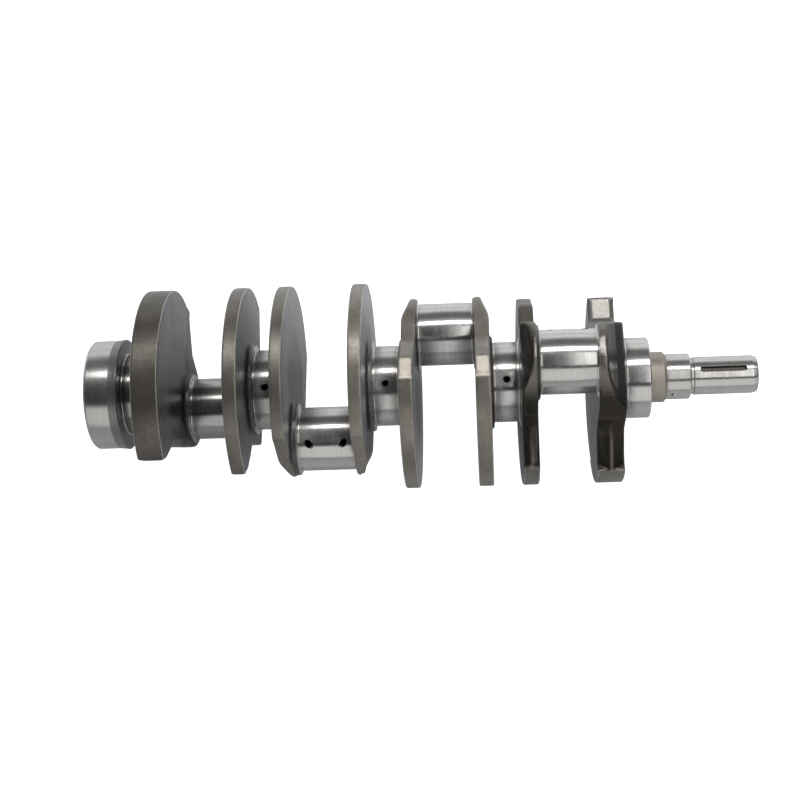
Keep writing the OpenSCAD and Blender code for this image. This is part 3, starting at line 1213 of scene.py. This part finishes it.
# The radius sets how far the painted shade reaches: over the flange it stays in the centre hole.
seal_steel = ground_steel("seal_steel", 5.0, 8.0, roughness=DULLER, grey=SEAL_GREY)
seat_steel = ground_steel("seat_steel", 61.0, UNDERCUT_R, roughness=DULLER)
snout_steel = ground_steel("snout_steel", 71.0, half_height("snout"), roughness=DULLER)
dress(flange, seal_steel, "rear_flange")
dress(gear_seat, seat_steel, "timing_gear_seat")
dress(snout, snout_steel, "snout")
dress(pump_drive, drive_steel, "oil_pump_drive")

# The collar in front of the seal surface is left as forged.
flange.data.materials.append(forged)
seal_end = (span("rear_flange")[0] + SEAL_W) * MM
for polygon in flange.data.polygons:
    if polygon.center.x > seal_end:
        polygon.material_index = 1

# ------------------------------------------------------------------ camera

ALONG_SHAFT = Vector((1, 0, 0))
CAMERA_LEAN = math.radians(19.44)
CAMERA_YAW = math.radians(-2.578)
CAMERA_ROLL = math.radians(1.873)
CAMERA_DISTANCE = 1.225
CAMERA_FOOT_X = 0.0841
FOCAL_LENGTH = 65.26
SENSOR_WIDTH = 36
LENS_SHIFT = (-0.0278, -0.0191)


def add_camera():
    """The camera above the shaft, leaning to -Y."""
    away = Vector((0, -math.sin(CAMERA_LEAN), math.cos(CAMERA_LEAN)))
    upward = Vector((0, math.cos(CAMERA_LEAN), math.sin(CAMERA_LEAN)))
    right = ALONG_SHAFT * math.cos(CAMERA_YAW) + away * math.sin(CAMERA_YAW)
    back = away * math.cos(CAMERA_YAW) - ALONG_SHAFT * math.sin(CAMERA_YAW)
    roll_c, roll_s = math.cos(CAMERA_ROLL), math.sin(CAMERA_ROLL)
    axes = (right * roll_c - upward * roll_s, right * roll_s + upward * roll_c, back)
    lens = bpy.data.cameras.new("view")
    lens.lens = FOCAL_LENGTH
    lens.sensor_width = SENSOR_WIDTH
    lens.shift_x, lens.shift_y = LENS_SHIFT
    camera = bpy.data.objects.new("view", lens)
    matrix = Matrix(axes).transposed().to_4x4()
    matrix.translation = ALONG_SHAFT * CAMERA_FOOT_X + away * CAMERA_DISTANCE
    camera.matrix_world = matrix
    bpy.context.scene.collection.objects.link(camera)
    bpy.context.scene.camera = camera


add_camera()

# ------------------------------------------------------------------ studio

FLOOR_DROP = 0.002
FLOOR_HALF = 6.0
FLOOR_GREY = (0.6, 0.6, 0.6, 1)
FLOOR_TINT = (0.96, 1.0, 1.05, 1)
FLOOR_SHOWN = 1.05
FLOOR_GLOW = 0.13
FAR_FLOOR_GLOW = 0.6
FAR_FLOOR = (0.05, 0.3)

# How bright the surroundings are against the angle from +Z towards +Y, as the shaft sees them.
SURROUNDINGS = (
    (-180, 0.9),
    (-47, 0.95),
    (-43, 0.06),
    (-12, 0.07),
    (6, 0.16),
    (13, 0.32),
    (36, 0.5),
    (46, 0.22),
    (66, 0.2),
    (80, 1.1),
    (180, 0.7),
)
BACKDROP = 1.05

# Soft lights: the angle from +Z towards +Y, then metres and watts. The strip runs along the
# shaft, and the card lights its front end.
STRIP = {"degrees": 25.2, "distance": 1.2, "length": 1.8, "width": 0.24, "power": 7.0, "x": 0.12}
CARD = {"degrees": -11, "distance": 1.22, "length": 0.8, "width": 1.0, "power": 4.6, "x": 0.74}


def add_floor():
    """A plain white floor just under the counterweights.

    It is white to the camera and glows faintly on the shaft, more so far out on the +Y side.
    """
    half = FLOOR_HALF / MM
    z = cad_box[0].z / MM - FLOOR_DROP / MM
    corners = [(-half, -half, z), (half, -half, z), (half, half, z), (-half, half, z)]
    floor = make_piece("floor", corners, [(0, 1, 2, 3)])
    material, tree, shader = new_material("floor_white")
    shader.inputs["Roughness"].default_value = 1.0
    shader.inputs["Specular IOR Level"].default_value = 0.0
    shader.inputs["Base Color"].default_value = FLOOR_GREY
    shader.inputs["Emission Color"].default_value = FLOOR_TINT
    far_side = node(tree, "ShaderNodeSeparateXYZ", {"Vector": object_place(tree)}).outputs["Y"]
    lit = remap(tree, far_side, *FAR_FLOOR, FLOOR_GLOW, FAR_FLOOR_GLOW)
    seen = node(tree, "ShaderNodeLightPath").outputs["Is Camera Ray"]
    glow = remap(tree, seen, 0.0, 1.0, lit, FLOOR_SHOWN)
    tree.links.new(glow, shader.inputs["Emission Strength"])
    floor.data.materials.append(material)


def surroundings_ramp(tree, share):
    """The brightness of the surroundings, by the share of a full turn from -Z."""
    ramp = node(tree, "ShaderNodeValToRGB", {"Fac": share})
    elements = ramp.color_ramp.elements
    while len(elements) < len(SURROUNDINGS):
        elements.new(0.5)
    for stop, (degrees, level) in zip(elements, SURROUNDINGS):
        stop.position = (degrees + 180) / 360
        stop.color = (level, level, level, 1)
    return ramp.outputs["Color"]


def add_world():
    """Soft studio surroundings: dark overhead, white on the -Y side, grey on the +Y side."""
    world = bpy.data.worlds.new("studio")
    bpy.context.scene.world = world
    world.use_nodes = True
    tree = world.node_tree
    direction = node(tree, "ShaderNodeTexCoord").outputs["Generated"]
    parts = node(tree, "ShaderNodeSeparateXYZ", {"Vector": direction})
    turn = maths(tree, "ARCTAN2", parts.outputs["Y"], parts.outputs["Z"])
    share = remap(tree, turn, -math.pi, math.pi, 0.0, 1.0)
    sideways = maths(tree, "ABSOLUTE", parts.outputs["X"])
    lighting = tree.nodes["Background"]
    tree.links.new(surroundings_ramp(tree, share), lighting.inputs["Color"])
    tree.links.new(remap(tree, sideways, 0.55, 0.9, 1.0, 0.25), lighting.inputs["Strength"])
    backdrop = node(tree, "ShaderNodeBackground", {"Color": (1, 1, 1, 1), "Strength": BACKDROP})
    seen = node(tree, "ShaderNodeLightPath").outputs["Is Camera Ray"]
    inputs = {0: seen, 1: lighting.outputs[0], 2: backdrop.outputs[0]}
    mixed = node(tree, "ShaderNodeMixShader", inputs)
    tree.links.new(mixed.outputs[0], tree.nodes["World Output"].inputs["Surface"])


def add_light(name, degrees, distance, length, width, power, x):
    """A soft light beside the shaft, at an angle from +Z towards +Y, and x along it."""
    light = bpy.data.lights.new(name, "AREA")
    light.shape = "RECTANGLE"
    light.size = length
    light.size_y = width
    light.energy = power
    lamp = bpy.data.objects.new(name, light)
    out = spoke(degrees)
    matrix = Matrix((ALONG_SHAFT, out.cross(ALONG_SHAFT), out)).transposed().to_4x4()
    matrix.translation = out * distance + ALONG_SHAFT * x
    lamp.matrix_world = matrix
    lamp.visible_camera = False
    bpy.context.scene.collection.objects.link(lamp)


add_floor()
add_world()
add_light("strip", **STRIP)
add_light("front_card", **CARD)
bpy.context.scene.view_settings.view_transform = "Standard"
